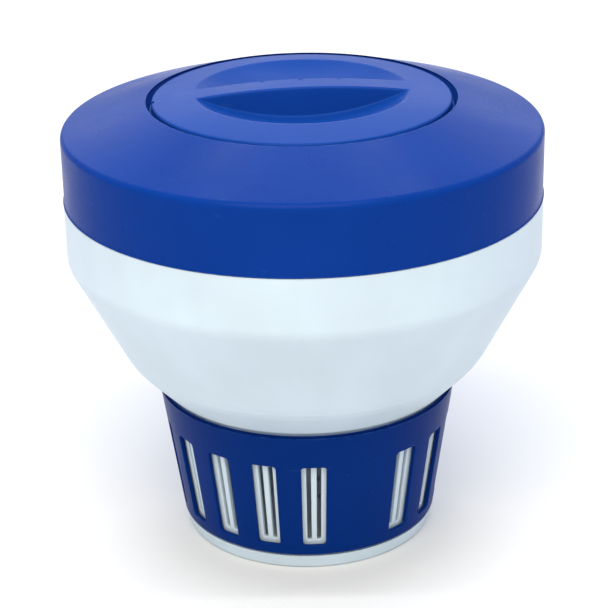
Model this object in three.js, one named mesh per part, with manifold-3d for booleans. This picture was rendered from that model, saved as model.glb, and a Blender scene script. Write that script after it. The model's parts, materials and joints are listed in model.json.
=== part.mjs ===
// A floating chlorine dispenser: a round float with a twist-off lid, and under it a tablet basket
// inside a turning sleeve whose windows meter the flow. Millimetres, +Z up, with the origin at the
// centre of the foot, on the surface that the dispenser stands on.
import * as THREE from 'three';
import { mergeVertices } from 'three/addons/utils/BufferGeometryUtils.js';
import Module from 'manifold-3d';

const wasm = await Module();
wasm.setup();

// Facets round a full turn, and the turn of one facet in a rounded corner.
const FACETS = 40;
const CORNER_STEP = Math.PI / 5;
const DEG = Math.PI / 180;
const SECTOR_STEP = 16 * DEG;

// Shell thickness, and the gap kept between pieces that touch on the real object.
const WALL = 2.2;
const GAP = 0.3;

// Float: skirt of the deck ring, deck, and the body below it. The skirt hangs round the bowl's rim.
const SKIRT_FOOT = { r: 95.0, z: 142.8 };
const DECK_EDGE = { r: 94.3, z: 169.9, fillet: 2.5 };
const DECK_LIP = { r: 59.6, z: 181.1, fillet: 0.8 };
const BAND_R = 94.4;
const SHOULDER = { r: BAND_R, z: 119.3, fillet: 9 };
const BILGE = { r: 72.5, z: 77.5, fillet: 25 };
const BOWL_FOOT = { r: 59.3, z: 64.0, fillet: 0.8 };
const RIM = { r: 92.3, wall: 2.1, root: 135.5, step: 139.5, top: 152.0 };
const SKIRT_BORE_R = 92.7;
const SEAM_LEDGE = { width: 2.7, bottom: 155.0, top: 156.5, gusset: 159.5, gussetWidth: 0.7 };

// Lid: a shallow dome with a dished recess that a grip bar crosses.
const LID_TOP_Z = 186.3;
const LID_R = 58.5;
const LID_FILLET = 1.2;
const DOME_R = 310;
const LID_SEAT_Z = 176.2;
const LID_UNDERSIDE_Z = LID_SEAT_Z + GAP;
const DISH_R = 42;
const DISH_FLOOR_Z = 174.3;
const BAR_WIDTH = 12;
const BAR_ANGLE = 4.5 * DEG;
const BAR_NOTCHES = [-15, 0, 15];
const BAR_NOTCH = { width: 1.6, reach: 2.2, depth: 2 };
const BAR_HOLLOW = { length: 60, top: 182.8 };
const INDEX_NOTCH_R = 1.5;

// Lid fastening: a spigot with bayonet lugs, in a collar with ledges.
const SPIGOT_R = 51.4;
const SPIGOT_FOOT_Z = 159;
const SEAL_RIB = { r: 53.4, bottom: 171.2, top: 172.4 };
const COLLAR_R = 55.0;
const COLLAR_OUTER_R = 57.4;
const COLLAR_FOOT_Z = 158;
const LUGS = 3;
const LUG = { halfWidth: 12 * DEG, r: 54.6, bottom: 162.5, top: 166.0 };
const LEDGE = { halfWidth: 46 * DEG, r: 51.9, bottom: 166.5, top: 169.0 };
const LUG_CLEARANCE = 1.5 * DEG;

// Well: the tube between the collar and the basket, with a socket at the top for the collar and a
// flange that rests on the neck of the bowl. The neck holds the well and the basket.
const WELL_R = 57.5;
const WELL_FOOT_Z = 74;
const WELL_TOP_Z = 170.8;
const WELL_SOCKET = { r: 57.8, wall: 3.0, foot: 157.6, taper: 3.6 };
const WELL_FLANGE = { r: 60.3, thickness: 2.2, taper: 1.1 };
const NECK_R = 57.8;
const NECK_TOP_Z = 84;
const NECK_COUNTERBORE = { r: 60.6, z: 80.5 };

// Snap groove of the neck, and the bead of the basket that clicks into it.
const SNAP = { z: 70.2, depth: 0.8, halfFlat: 1.0, slope: 0.3 };

// Rubber rings: the radius of the ring, of its section, and its height.
const LID_SEAL = { r: 53.1, section: 1.4, z: 174.4 };
const UPPER_SEAL = { r: 59.4, section: 1.3, z: 172.4 };
const LOWER_SEAL = { r: 59.05, section: 1.15, z: 82.0 };
const O_RING_SIDES = 6;

// How far the flat rim seal stays inside the two faces of the rim that it lies on.
const RIM_SEAL_INSET = { inner: 0.2, outer: 0.1 };

// Basket, sleeve and foot. The sleeve and the basket taper together.
const SLEEVE_FOOT = { r: 51.9, z: 6.8 };
const SLEEVE_TOP = { r: 60.2, z: 62.8, fillet: 0.5 };
const SLEEVE_WALL = 1.7;
const BASKET_CLEARANCE = 0.6;
const BASKET_SHOULDER_Z = 62;
const BASKET_TOP_Z = 73.7;
const BASKET_FLOOR = { bottom: 7.6, top: 9.8, edgeFall: 0.1 };
const DRAIN = { holes: 6, r: 2.2, ring: 9 };
const DRAIN_FACETS = 12;

// Foot: a cap that tapers in under the sleeve, with a recess below, a hub bore for draining and a
// well for the ballast. The basket has a spigot with a bead that snaps into the cap.
const BASE = { footR: 49.9, r: 51.6, top: 6.5, footFillet: 1.2, topFillet: 0.4 };
const BASE_RECESS = { outer: 45, inner: 44, z: 1.2 };
const BASE_FLOOR_Z = 3.2;
const HUB = { r: 15, wall: 2 };
const BALLAST = { inner: 17.5, outer: 45.5, bottom: 3.6, top: 7.2 };
const SPIGOT = { r: 48.2, foot: 4.4, bead: 0.5, beadZ: 5.4, beadHalfFlat: 0.2, beadHalf: 0.6 };
const BEAD_GROOVE_SLACK = 0.1;

// Windows of the sleeve and the slit pairs behind them. The turn is measured from +X.
const WINDOW_PITCH = 20 * DEG;
const WINDOW_PHASE = -88 * DEG;
const WINDOW_PLACES = 18;
const BLANK_PLACES = [1, 10];
const WINDOW = { halfWidth: 5.0 * DEG, bottom: 11.2, top: 48.4 };
const SLIT = { offset: 2.15 * DEG, halfWidth: 0.95 * DEG, bottom: 12.8, top: 52 };

// Stop key on the foot, and the notch of the sleeve that it runs in.
const STOP = { angle: 112 * DEG, halfWidth: 2.5 * DEG, clearance: 0.5 * DEG,
  inner: 50.2, outer: 51.3, root: 1.0, height: 2.0 };
const SLEEVE_TRAVEL = WINDOW_PITCH / 2;

// Radii and height that a cutter reaches, to pass right through what it cuts.
const CUT = { inner: 45, outer: 65, over: 1 };

const LID_BLUE = { color: 0x2a52b0, roughness: 0.34, metalness: 0 };
const DECK_BLUE = { color: 0x1d48a4, roughness: 0.34, metalness: 0 };
const SLEEVE_BLUE = { color: 0x0b2f7c, roughness: 0.38, metalness: 0 };
const WHITE = { color: 0xf1f3f2, roughness: 0.42, metalness: 0 };
const WELL_WHITE = { color: 0xe6eaea, roughness: 0.5, metalness: 0 };
const RUBBER = { color: 0x1b1c1e, roughness: 0.8, metalness: 0 };
const STEEL = { color: 0x9a9c9e, roughness: 0.35, metalness: 1 };

// ---- outlines: lists of [r, z] or [r, z, fillet] in the half plane of the axis ----

const corner = ({ r, z, fillet }) => [r, z, fillet];

function cornerArc(before, at, after, radius) {
  const back = before.clone().sub(at).normalize();
  const on = after.clone().sub(at).normalize();
  const half = back.angleTo(on) / 2;
  const toTangent = radius / Math.tan(half);
  const centre = back.clone().add(on).normalize().multiplyScalar(radius / Math.sin(half)).add(at);
  const start = back.multiplyScalar(toTangent).add(at).sub(centre);
  const turn = Math.PI - 2 * half;
  const way = Math.sign(start.clone().cross(on));
  const steps = Math.max(1, Math.ceil(turn / CORNER_STEP));
  return Array.from({ length: steps + 1 }, (_, i) =>
    start.clone().rotateAround(new THREE.Vector2(), (way * turn * i) / steps).add(centre));
}

function outline(corners) {
  const points = corners.map(([r, z]) => new THREE.Vector2(r, z));
  const count = points.length;
  return corners.flatMap(([, , radius], i) => radius
    ? cornerArc(points[(i + count - 1) % count], points[i], points[(i + 1) % count], radius)
    : [points[i]]);
}

// The same open line moved sideways, to the left of its direction, by a distance.
function offsetLine(corners, distance) {
  const points = corners.map(([r, z]) => new THREE.Vector2(r, z));
  const normals = points.slice(1).map((point, i) => {
    const along = point.clone().sub(points[i]).normalize();
    return new THREE.Vector2(-along.y, along.x);
  });
  return points.map((point, i) => {
    const first = normals[Math.max(0, i - 1)];
    const second = normals[Math.min(normals.length - 1, i)];
    const shift = first.clone().add(second).multiplyScalar(distance / (1 + first.dot(second)));
    return [point.x + shift.x, point.y + shift.y, corners[i][2]];
  });
}

const spread = (from, to, steps) =>
  Array.from({ length: steps + 1 }, (_, i) => from + ((to - from) * i) / steps);
const turns = (count) => Array.from({ length: count }, (_, i) => (i * 2 * Math.PI) / count);

const lineRadius = (from, to, z) => from.r + ((to.r - from.r) * (z - from.z)) / (to.z - from.z);
const lineHeight = (from, to, r) => from.z + ((to.z - from.z) * (r - from.r)) / (to.r - from.r);

// ---- solids ----

function solid(geometry) {
  const bare = geometry.clone();
  bare.deleteAttribute('normal');
  bare.deleteAttribute('uv');
  const merged = mergeVertices(bare);
  return new wasm.Manifold(new wasm.Mesh({
    numProp: 3,
    vertProperties: merged.attributes.position.array,
    triVerts: Uint32Array.from(merged.index.array),
  }));
}

function geometryOf(body) {
  const mesh = body.getMesh();
  const geometry = new THREE.BufferGeometry();
  geometry.setAttribute('position', new THREE.BufferAttribute(mesh.vertProperties, 3));
  geometry.setIndex(new THREE.BufferAttribute(mesh.triVerts, 1));
  return geometry;
}

const joined = (body, others) => others.reduce((sum, other) => sum.add(other), body);
const cut = (body, others) => others.reduce((rest, other) => rest.subtract(other), body);

// A closed outline turned round the Z axis. An outline that meets the axis starts and ends on it.
function revolved(corners) {
  const points = outline(corners);
  if (THREE.ShapeUtils.area(points) < 0) points.reverse();
  if (points[0].x > 0) points.push(points[0].clone());
  return solid(new THREE.LatheGeometry(points, FACETS).rotateX(Math.PI / 2));
}

// A block bounded by two radii, two angles and two heights.
function sector(inner, outer, from, to, bottom, top) {
  const shape = new THREE.Shape();
  shape.absarc(0, 0, outer, from, to, false);
  shape.absarc(0, 0, inner, to, from, true);
  const curveSegments = Math.ceil((to - from) / SECTOR_STEP);
  const settings = { depth: top - bottom, bevelEnabled: false, curveSegments };
  return solid(new THREE.ExtrudeGeometry(shape, settings).translate(0, 0, bottom));
}

function cylinder(radius, bottom, top, x, y, facets = 16) {
  const shape = new THREE.CylinderGeometry(radius, radius, top - bottom, facets);
  return solid(shape.rotateX(Math.PI / 2).translate(x, y, (bottom + top) / 2));
}

// A box centred on x and y in the frame of the grip bar, then turned with the bar.
function barBox(length, width, bottom, top, x = 0, y = 0) {
  const box = new THREE.BoxGeometry(length, width, top - bottom);
  return solid(box.translate(x, y, (bottom + top) / 2).rotateZ(BAR_ANGLE));
}

const oRing = ({ r, section, z }) => revolved(turns(O_RING_SIDES).map((turn) =>
  [r + section * Math.cos(turn), z + section * Math.sin(turn)]));

// ---- lid ----

const domeHeight = (r) => LID_TOP_Z - DOME_R + Math.sqrt(DOME_R ** 2 - r ** 2);
const DISH_DEPTH = domeHeight(DISH_R) - DISH_FLOOR_Z;
const DISH_CURVE_R = (DISH_R ** 2 + DISH_DEPTH ** 2) / (2 * DISH_DEPTH);
const dishHeight = (r, below = 0) =>
  DISH_FLOOR_Z + DISH_CURVE_R - Math.sqrt((DISH_CURVE_R + below) ** 2 - r ** 2);

function lidShell() {
  const top = spread(0, LID_R, 6).map((r) => [r, domeHeight(r)]);
  top.at(-1).push(LID_FILLET);
  const boreR = SPIGOT_R - WALL;
  return revolved([
    ...top,
    [LID_R, LID_UNDERSIDE_Z],
    [SPIGOT_R, LID_UNDERSIDE_Z],
    [SPIGOT_R, SEAL_RIB.top], [SEAL_RIB.r, SEAL_RIB.top],
    [SEAL_RIB.r, SEAL_RIB.bottom], [SPIGOT_R, SEAL_RIB.bottom],
    [SPIGOT_R, SPIGOT_FOOT_Z], [boreR, SPIGOT_FOOT_Z],
    ...spread(boreR, 0, 3).map((r) => [r, domeHeight(r) - WALL]),
  ]);
}

function dishBody() {
  const reach = DISH_R + WALL;
  return revolved([
    ...spread(0, reach, 5).map((r) => [r, dishHeight(r, WALL)]),
    [reach, domeHeight(reach) - WALL / 2],
    [0, domeHeight(0) - WALL / 2],
  ]);
}

function dishSpace() {
  const above = LID_TOP_Z + CUT.over;
  const scoop = revolved([
    ...spread(0, DISH_R, 6).map((r) => [r, dishHeight(r)]),
    [DISH_R, above],
    [0, above],
  ]);
  return scoop.subtract(barBox(3 * DISH_R, BAR_WIDTH, SPIGOT_FOOT_Z, above));
}

function lid() {
  const lugs = turns(LUGS).map((turn) => sector(
    SPIGOT_R - WALL / 2, LUG.r, turn - LUG.halfWidth, turn + LUG.halfWidth, LUG.bottom, LUG.top));
  const { width, reach, depth } = BAR_NOTCH;
  const notches = BAR_NOTCHES.map((x) => barBox(
    width, 2 * reach, domeHeight(x) - depth, LID_TOP_Z + CUT.over, x, BAR_WIDTH / 2));
  const indexNotch = cylinder(
    INDEX_NOTCH_R, LID_UNDERSIDE_Z - CUT.over, LID_TOP_Z,
    -LID_R * Math.cos(BAR_ANGLE), -LID_R * Math.sin(BAR_ANGLE));
  const barHollow = barBox(
    BAR_HOLLOW.length, BAR_WIDTH - 2 * WALL, SPIGOT_FOOT_Z, BAR_HOLLOW.top);
  const body = joined(lidShell(), [dishBody(), ...lugs]);
  return cut(body, [dishSpace(), barHollow, indexNotch, ...notches]);
}

// ---- float ----

function deckRing() {
  const slope = [[DECK_EDGE.r, DECK_EDGE.z], [DECK_LIP.r, DECK_LIP.z]];
  const [underEdge, underLip] = offsetLine(slope, WALL).map(([r, z]) => ({ r, z }));
  const underside = (r) => [r, lineHeight(underEdge, underLip, r)];
  const seatUnder = LID_SEAT_Z - WALL;
  const gussetR = SKIRT_BORE_R - SEAM_LEDGE.gussetWidth;
  const ledgeR = SKIRT_BORE_R - SEAM_LEDGE.width;
  const shell = revolved([
    corner(SKIRT_FOOT), corner(DECK_EDGE), corner(DECK_LIP),
    [DECK_LIP.r, LID_SEAT_Z], [COLLAR_R, LID_SEAT_Z],
    [COLLAR_R, COLLAR_FOOT_Z], [COLLAR_OUTER_R, COLLAR_FOOT_Z],
    [COLLAR_OUTER_R, seatUnder], [DECK_LIP.r + WALL, seatUnder],
    underside(DECK_LIP.r + WALL), underside(gussetR),
    [gussetR, SEAM_LEDGE.gusset], [ledgeR, SEAM_LEDGE.top], [ledgeR, SEAM_LEDGE.bottom],
    [SKIRT_BORE_R, SEAM_LEDGE.bottom], [SKIRT_BORE_R, SKIRT_FOOT.z],
  ]);
  const ledgeOuterR = (COLLAR_R + COLLAR_OUTER_R) / 2;
  const stopBottom = LUG.bottom - CUT.over;
  const stopTop = (LEDGE.bottom + LEDGE.top) / 2;
  const ledges = turns(LUGS).flatMap((turn) => {
    const [start, end] = [turn - LEDGE.halfWidth, turn + LEDGE.halfWidth];
    const stopEnd = turn - LUG.halfWidth - LUG_CLEARANCE;
    return [
      sector(LEDGE.r, ledgeOuterR, start, end, LEDGE.bottom, LEDGE.top),
      sector(LEDGE.r, ledgeOuterR, start, stopEnd, stopBottom, stopTop),
    ];
  });
  return joined(shell, ledges);
}

function floatBowl() {
  const skirtGapZ = SKIRT_FOOT.z - GAP;
  const side = [[BAND_R, skirtGapZ], corner(SHOULDER), corner(BILGE), corner(BOWL_FOOT)];
  const [, innerShoulder, innerBilge, innerFoot] = offsetLine(side, -WALL);
  const neckOuterR = NECK_COUNTERBORE.r + WALL;
  const [bilge, foot] = [innerBilge, innerFoot].map(([r, z]) => ({ r, z }));
  const rimInnerR = RIM.r - RIM.wall;
  const grooveR = NECK_R + SNAP.depth;
  return revolved([
    [RIM.r, RIM.top], [RIM.r, skirtGapZ],
    ...side,
    [NECK_R, BOWL_FOOT.z],
    [NECK_R, SNAP.z - SNAP.halfFlat - SNAP.slope], [grooveR, SNAP.z - SNAP.halfFlat],
    [grooveR, SNAP.z + SNAP.halfFlat], [NECK_R, SNAP.z + SNAP.halfFlat + SNAP.slope],
    [NECK_R, NECK_COUNTERBORE.z], [NECK_COUNTERBORE.r, NECK_COUNTERBORE.z],
    [NECK_COUNTERBORE.r, NECK_TOP_Z], [neckOuterR, NECK_TOP_Z],
    [neckOuterR, lineHeight(bilge, foot, neckOuterR)],
    innerBilge, innerShoulder,
    [BAND_R - WALL, RIM.root], [rimInnerR, RIM.step],
    [rimInnerR, RIM.top],
  ]);
}

function tabletWell() {
  const boreR = WELL_R - WALL;
  const socketOuterR = WELL_SOCKET.r + WELL_SOCKET.wall;
  const flangeTop = NECK_TOP_Z - GAP + WELL_FLANGE.thickness;
  return revolved([
    [boreR, WELL_FOOT_Z], [WELL_R, WELL_FOOT_Z],
    [WELL_R, NECK_TOP_Z - GAP], [WELL_FLANGE.r, NECK_TOP_Z - GAP],
    [WELL_FLANGE.r, flangeTop], [WELL_R, flangeTop + WELL_FLANGE.taper],
    [WELL_R, WELL_SOCKET.foot - WELL_SOCKET.taper], [socketOuterR, WELL_SOCKET.foot],
    [socketOuterR, WELL_TOP_Z], [WELL_SOCKET.r, WELL_TOP_Z],
    [WELL_SOCKET.r, WELL_SOCKET.foot], [boreR, WELL_SOCKET.foot],
  ]);
}

function rimSeal() {
  const innerR = RIM.r - RIM.wall + RIM_SEAL_INSET.inner;
  const outerR = RIM.r - RIM_SEAL_INSET.outer;
  const [bottom, top] = [RIM.top + GAP, SEAM_LEDGE.bottom - GAP];
  return revolved([[innerR, bottom], [outerR, bottom], [outerR, top], [innerR, top]]);
}

// ---- basket, sleeve and foot ----

const windowTurns = spread(0, WINDOW_PLACES - 1, WINDOW_PLACES - 1)
  .filter((place) => !BLANK_PLACES.includes(place))
  .map((place) => WINDOW_PHASE + place * WINDOW_PITCH);

const sleeveRadius = (z) => lineRadius(SLEEVE_FOOT, SLEEVE_TOP, z);
const basketRadius = (z) => sleeveRadius(z) - SLEEVE_WALL - BASKET_CLEARANCE;

function dosingSleeve() {
  const shell = revolved([
    corner(SLEEVE_FOOT), corner(SLEEVE_TOP),
    [SLEEVE_TOP.r - SLEEVE_WALL, SLEEVE_TOP.z], [SLEEVE_FOOT.r - SLEEVE_WALL, SLEEVE_FOOT.z],
  ]);
  const windows = windowTurns.map((turn) => sector(
    CUT.inner, CUT.outer, turn - WINDOW.halfWidth, turn + WINDOW.halfWidth,
    WINDOW.bottom, WINDOW.top));
  const reach = STOP.halfWidth + STOP.clearance;
  const stopNotch = sector(
    CUT.inner, CUT.outer, STOP.angle - reach - SLEEVE_TRAVEL, STOP.angle + reach,
    SLEEVE_FOOT.z - CUT.over, BASE.top + STOP.height + GAP);
  return cut(shell, [...windows, stopNotch]);
}

function basket() {
  const inside = (z) => [basketRadius(z) - WALL, z];
  const collarR = NECK_R - GAP;
  const beadR = collarR + SNAP.depth;
  const beadHalf = SNAP.halfFlat - GAP;
  const spigotBeadR = SPIGOT.r + SPIGOT.bead;
  const shell = revolved([
    [0, BASKET_FLOOR.top], inside(BASKET_FLOOR.top), inside(BASKET_SHOULDER_Z),
    [collarR - WALL, BASKET_SHOULDER_Z + WALL], [collarR - WALL, BASKET_TOP_Z],
    [collarR, BASKET_TOP_Z],
    [collarR, SNAP.z + SNAP.halfFlat], [beadR, SNAP.z + beadHalf],
    [beadR, SNAP.z - beadHalf], [collarR, SNAP.z - SNAP.halfFlat],
    [collarR, BASKET_SHOULDER_Z], [basketRadius(BASKET_SHOULDER_Z), BASKET_SHOULDER_Z],
    [basketRadius(BASKET_FLOOR.bottom), BASKET_FLOOR.bottom],
    [SPIGOT.r, BASKET_FLOOR.bottom - BASKET_FLOOR.edgeFall],
    [SPIGOT.r, SPIGOT.beadZ + SPIGOT.beadHalf], [spigotBeadR, SPIGOT.beadZ + SPIGOT.beadHalfFlat],
    [spigotBeadR, SPIGOT.beadZ - SPIGOT.beadHalfFlat], [SPIGOT.r, SPIGOT.foot],
    [SPIGOT.r - WALL, SPIGOT.foot], [SPIGOT.r - WALL, BASKET_FLOOR.bottom],
    [0, BASKET_FLOOR.bottom],
  ]);
  const slits = windowTurns.flatMap((turn) => [-SLIT.offset, SLIT.offset].map((offset) => sector(
    CUT.inner, CUT.outer, turn + offset - SLIT.halfWidth, turn + offset + SLIT.halfWidth,
    SLIT.bottom, SLIT.top)));
  const drains = turns(DRAIN.holes).map((turn) => {
    const [x, y] = [DRAIN.ring * Math.cos(turn), DRAIN.ring * Math.sin(turn)];
    return cylinder(
      DRAIN.r, BASKET_FLOOR.bottom - CUT.over, BASKET_FLOOR.top + CUT.over, x, y, DRAIN_FACETS);
  });
  return cut(shell, [...slits, ...drains]);
}

function baseCap() {
  const boreR = SPIGOT.r + GAP;
  const grooveR = boreR + SPIGOT.bead + BEAD_GROOVE_SLACK;
  const grooveHalfFlat = SPIGOT.beadHalfFlat + GAP;
  const grooveHalf = SPIGOT.beadHalf + GAP;
  const hubOuterR = HUB.r + HUB.wall;
  const hubTop = BASKET_FLOOR.bottom - GAP;
  const shell = revolved([
    [HUB.r, BASE_RECESS.z], [BASE_RECESS.inner, BASE_RECESS.z], [BASE_RECESS.outer, 0],
    [BASE.footR, 0, BASE.footFillet], [BASE.r, BASE.top, BASE.topFillet], [boreR, BASE.top],
    [boreR, SPIGOT.beadZ + grooveHalf], [grooveR, SPIGOT.beadZ + grooveHalfFlat],
    [grooveR, SPIGOT.beadZ - grooveHalfFlat], [boreR, SPIGOT.beadZ - grooveHalf],
    [boreR, BASE_FLOOR_Z], [hubOuterR, BASE_FLOOR_Z],
    [hubOuterR, hubTop], [HUB.r, hubTop],
  ]);
  const stop = sector(
    STOP.inner, STOP.outer, STOP.angle - STOP.halfWidth, STOP.angle + STOP.halfWidth,
    BASE.top - STOP.root, BASE.top + STOP.height);
  return shell.add(stop);
}

const ballastRing = () => revolved([
  [BALLAST.inner, BALLAST.bottom], [BALLAST.outer, BALLAST.bottom],
  [BALLAST.outer, BALLAST.top], [BALLAST.inner, BALLAST.top],
]);

// ---- assembly ----

const PIECES = {
  lid: [lid, LID_BLUE],
  lid_seal: [() => oRing(LID_SEAL), RUBBER],
  deck_ring: [deckRing, DECK_BLUE],
  rim_seal: [rimSeal, RUBBER],
  float_bowl: [floatBowl, WHITE],
  tablet_well: [tabletWell, WELL_WHITE],
  well_seal_upper: [() => oRing(UPPER_SEAL), RUBBER],
  well_seal_lower: [() => oRing(LOWER_SEAL), RUBBER],
  basket: [basket, WHITE],
  dosing_sleeve: [dosingSleeve, SLEEVE_BLUE],
  base_cap: [baseCap, WHITE],
  ballast_ring: [ballastRing, STEEL],
};

const dispenser = new THREE.Group();
for (const [name, [make, finish]] of Object.entries(PIECES)) {
  const mesh = new THREE.Mesh(geometryOf(make()), new THREE.MeshStandardMaterial(finish));
  mesh.name = name;
  dispenser.add(mesh);
}

export default dispenser;
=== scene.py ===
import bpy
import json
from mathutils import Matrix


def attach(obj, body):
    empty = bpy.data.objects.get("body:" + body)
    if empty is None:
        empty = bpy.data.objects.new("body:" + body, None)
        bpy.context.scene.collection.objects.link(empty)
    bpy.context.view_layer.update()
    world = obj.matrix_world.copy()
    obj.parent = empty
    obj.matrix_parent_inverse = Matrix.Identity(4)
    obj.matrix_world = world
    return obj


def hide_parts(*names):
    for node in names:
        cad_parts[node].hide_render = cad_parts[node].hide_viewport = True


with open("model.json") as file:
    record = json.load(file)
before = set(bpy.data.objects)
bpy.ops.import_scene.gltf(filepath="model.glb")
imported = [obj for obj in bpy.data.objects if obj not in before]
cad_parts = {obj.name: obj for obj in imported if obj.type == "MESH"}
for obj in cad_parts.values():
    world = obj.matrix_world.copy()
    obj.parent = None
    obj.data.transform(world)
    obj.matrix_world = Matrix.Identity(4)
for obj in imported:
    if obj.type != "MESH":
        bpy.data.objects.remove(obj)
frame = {"nodes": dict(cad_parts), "record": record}

"""Looks of a floating chlorine dispenser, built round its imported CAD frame.

Every moulding is replaced by a fine mesh of the same outline. Lengths in the outlines are
millimetres, measured like the CAD model: from the centre of the foot, +Z up. make_object() turns
them into the metres of the scene.
"""

import json
import math

import bmesh
import bpy
from mathutils import Matrix, Vector

MM = 0.001
DEG = math.radians(1)
TURN = 2 * math.pi
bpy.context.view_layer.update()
RECORD = frame["record"]
BODY_OF = {node: body for body, nodes in RECORD["behaviour"]["bodies"].items() for node in nodes}

# Facets round a full turn, the turn of one facet in a fillet, the fillet of a corner that states
# none, and the angle above which an edge is shaded sharp.
SEGMENTS = 320
FILLET_STEP = 12 * DEG
SMALL_FILLET = 0.25
SHARP = 38 * DEG

# Steps along the arcs of a block, and facets of a round section of rubber.
SECTOR_STEPS = 48
SEAL_FACETS = 28

# Stations on a straight run of an outline: next to its ends, and the most between two others.
RUN_END, RUN_STEP = 0.5, 5.0

WALL = 2.2
GAP = 0.3

# Float.
SKIRT_FOOT = (95.0, 142.8, 0.4)
DECK_EDGE = (94.3, 169.9, 2.5)
DECK_LIP = (59.6, 181.1, 0.8)
BAND_R = 94.4
SHOULDER = (BAND_R, 119.3, 9)
BILGE = (72.5, 77.5, 25)
BOWL_FOOT = (59.3, 64.0, 0.8)
RIM_R, RIM_WALL, RIM_TOP = 92.3, 2.1, 152.0
SKIRT_BORE_R = 92.7
RIM_ROOT_Z, RIM_STEP_Z = 135.5, 139.5
SEAM_LEDGE_Z = 155.0
SEAM_LEDGE_RISE, SEAM_GUSSET_RISE = 1.5, 4.5
SEAM_LEDGE_WIDTH, SEAM_GUSSET_WIDTH = 2.7, 0.7

# Lid.
LID_TOP_Z = 186.3
LID_R, LID_FILLET = 58.5, 1.2
DOME_R = 310
LID_SEAT_Z = 176.2
LID_UNDERSIDE_Z = LID_SEAT_Z + GAP
DISH_R = 42
DISH_FLOOR_Z = 174.3
BAR_HALF = 6
BAR_ANGLE = 4.5 * DEG
BAR_NOTCHES = (-15, 0, 15)
NOTCH_HALF, NOTCH_REACH, NOTCH_DEPTH = 0.8, 2.2, 2.0
SPIGOT_R, SPIGOT_FOOT_Z = 51.4, 159
COLLAR_R, COLLAR_OUTER_R, COLLAR_FOOT_Z = 55.0, 57.4, 158
LUG_TURNS = (0, TURN / 3, 2 * TURN / 3)
LUG_HALF, LUG_R, LUG_LOW, LUG_HIGH = 12 * DEG, 54.6, 162.5, 166.0
LEDGE_HALF, LEDGE_R, LEDGE_LOW, LEDGE_HIGH = 46 * DEG, 51.9, 166.5, 169.0
LUG_CLEARANCE = 1.5 * DEG
SEAL_RIB_R, SEAL_RIB_LOW, SEAL_RIB_HIGH = 53.4, 171.2, 172.4
BAR_HOLLOW_HALF, BAR_HOLLOW_TOP, BAR_HOLLOW_BEVEL = 30, 182.8, 1.2
INDEX_NOTCH_R = 1.5

# Well and neck.
WELL_R, WELL_FOOT_Z, WELL_TOP_Z = 57.5, 74, 170.8
WELL_SOCKET_R, WELL_SOCKET_WALL, WELL_SOCKET_FOOT, WELL_SOCKET_TAPER = 57.8, 3, 157.6, 3.6
WELL_FLANGE_R, WELL_FLANGE_EDGE, WELL_FLANGE_ROOT = 60.3, 2.2, 3.3
NECK_R, NECK_TOP_Z = 57.8, 84
COUNTERBORE_R, COUNTERBORE_Z = 60.6, 80.5
SNAP_Z, SNAP_DEPTH = 70.2, 0.8
GROOVE_HALF_FLAT, GROOVE_HALF = 1, 1.3
BEAD_HALF_FLAT, BEAD_HALF = 0.7, 1

# Rubber rings: radius of the ring, of its section, and height.
LID_SEAL = (53.1, 1.4, 174.4)
UPPER_SEAL = (59.4, 1.3, 172.4)
LOWER_SEAL = (59.05, 1.15, 82.0)
RIM_SEAL_INSET = (0.2, 0.1)

# Sleeve, basket and foot.
SLEEVE_FOOT = (51.9, 6.8)
SLEEVE_TOP = (60.2, 62.8)
SLEEVE_WALL = 1.7
BASKET_CLEARANCE = 0.6
WINDOW_PITCH = 20 * DEG
WINDOW_PHASE = -88 * DEG
WINDOW_PLACES = 18
BLANK_PLACES = (1, 10)
WINDOW = {"half": 5.0 * DEG, "low": 11.2, "high": 48.4, "corner": 1.3}
SLIT = {"offset": 2.15 * DEG, "half": 0.95 * DEG, "low": 12.8, "high": 52.0, "corner": 0.7}
STOP_ANGLE, STOP_HALF, STOP_CLEARANCE = 112 * DEG, 2.5 * DEG, 0.5 * DEG
SLEEVE_TRAVEL = WINDOW_PITCH / 2
DRAIN_R, DRAIN_RING, DRAINS = 2.2, 9, 6
BASKET_SHOULDER_Z, BASKET_TOP_Z = 62, 73.7
FLOOR_LOW, FLOOR_HIGH, FLOOR_EDGE_FALL = 7.6, 9.8, 0.1

# Radius at which the floor's faces get a ring of points between the axis and the wall.
FLOOR_RING_R = 30

# Heights between which the walls are laid out in cells, one to each hole.
SLEEVE_CELLS = (10.4, 50.0)
BASKET_CELLS = (12.0, 53.5)

# Foot.
BASE_FOOT_R, BASE_R, BASE_TOP_Z = 49.9, 51.6, 6.5
RECESS_INNER_R, RECESS_OUTER_R, RECESS_Z = 44, 45, 1.2
BASE_FLOOR_Z = 3.2
HUB_R, HUB_WALL, HUB_TOP_Z = 15, 2, 7.3
BASKET_SPIGOT_R, BASKET_SPIGOT_FOOT = 48.2, 4.4
FOOT_BEAD, FOOT_BEAD_FLAT, FOOT_BEAD_TOP = 0.5, (5.2, 5.6), 6.0
FOOT_GROOVE, FOOT_GROOVE_FLAT, FOOT_GROOVE_ENDS = 0.6, (4.9, 5.9), (4.5, 6.3)
STOP_INNER_R, STOP_OUTER_R, STOP_HEIGHT, STOP_ROOT = 50.2, 51.3, 2.0, 1


# ---------------------------------------------------------------- meshes

def polar(r, turn, z):
    return (r * math.cos(turn), r * math.sin(turn), z)


def spread(start, end, steps):
    return [start + (end - start) * i / steps for i in range(steps + 1)]


def full_turn(count=SEGMENTS):
    return [TURN * i / count for i in range(count)]


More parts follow.
